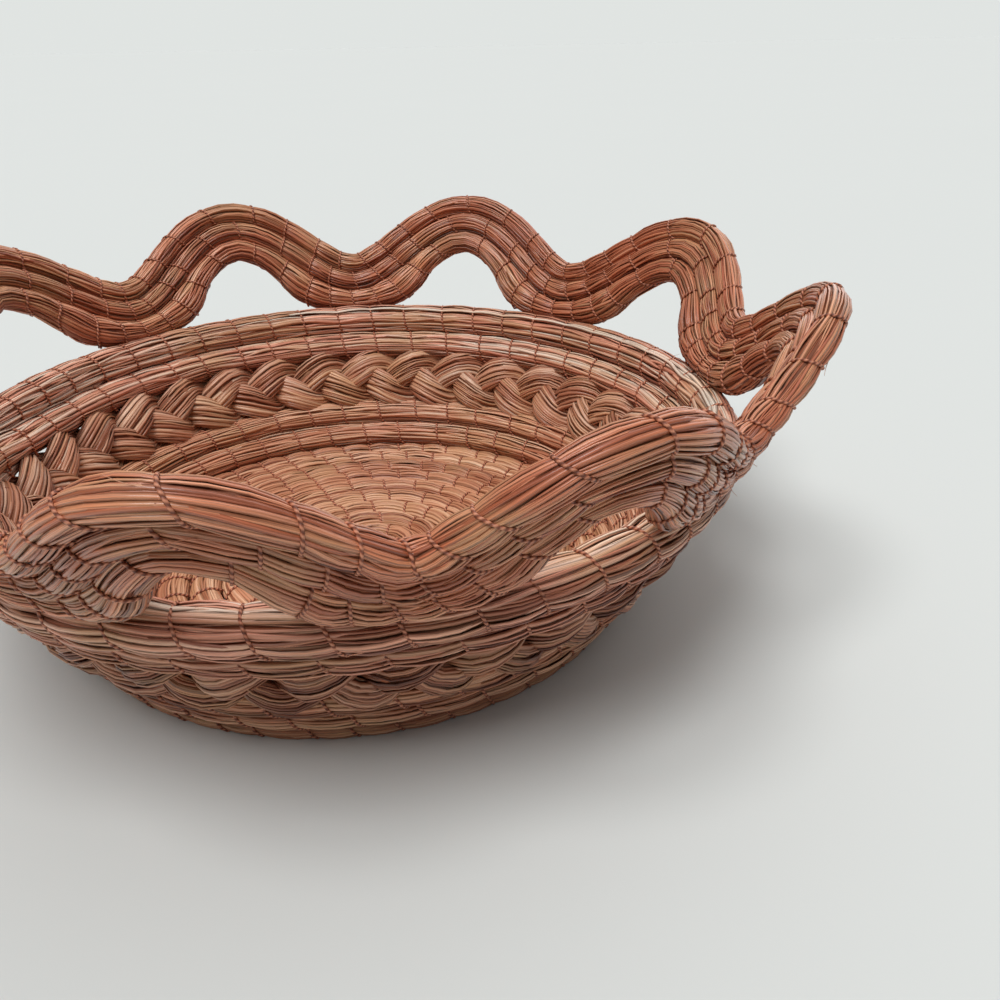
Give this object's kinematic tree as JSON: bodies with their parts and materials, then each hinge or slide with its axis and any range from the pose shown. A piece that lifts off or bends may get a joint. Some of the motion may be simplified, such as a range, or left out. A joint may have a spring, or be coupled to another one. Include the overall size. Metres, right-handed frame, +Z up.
{
  "type": "pine needle basket",
  "caption": "Round open basket coiled from bundles of pine needles, with a flat spiral floor, a flared wall with a braided row, and a wavy border.",
  "frame": {"origin": "under the middle of the floor, on the pressed face that the basket rests on", "axes": "+Z up out of the basket's mouth; +X to the right and +Y away in the pictured view"},
  "size_m": [0.2591, 0.2625, 0.0911],
  "materials": {
    "floor_needles": "dried pine needles laid side by side, golden tan, satin",
    "wall_needles": "dried pine needles laid side by side, red-brown with tan ones among them, satin",
    "braid_needles": "braided strands of dried pine needles, brown with tan ones among them, satin",
    "rim_needles": "dried pine needles laid side by side, red-brown with a pinkish sheen",
    "border_needles": "dried pine needles laid side by side, red-brown with tan ones among them, satin",
    "stitch_thread": "waxed two-ply thread, dark red-brown"
  },
  "bodies": {
    "root": {"floor_coil": "floor_needles", "wall_coil": "wall_needles", "braid_strand_a": "braid_needles", "braid_strand_b": "braid_needles", "braid_strand_c": "braid_needles", "rim_coil": "rim_needles", "wave_coil": "border_needles"}
  },
  "joints": []
}
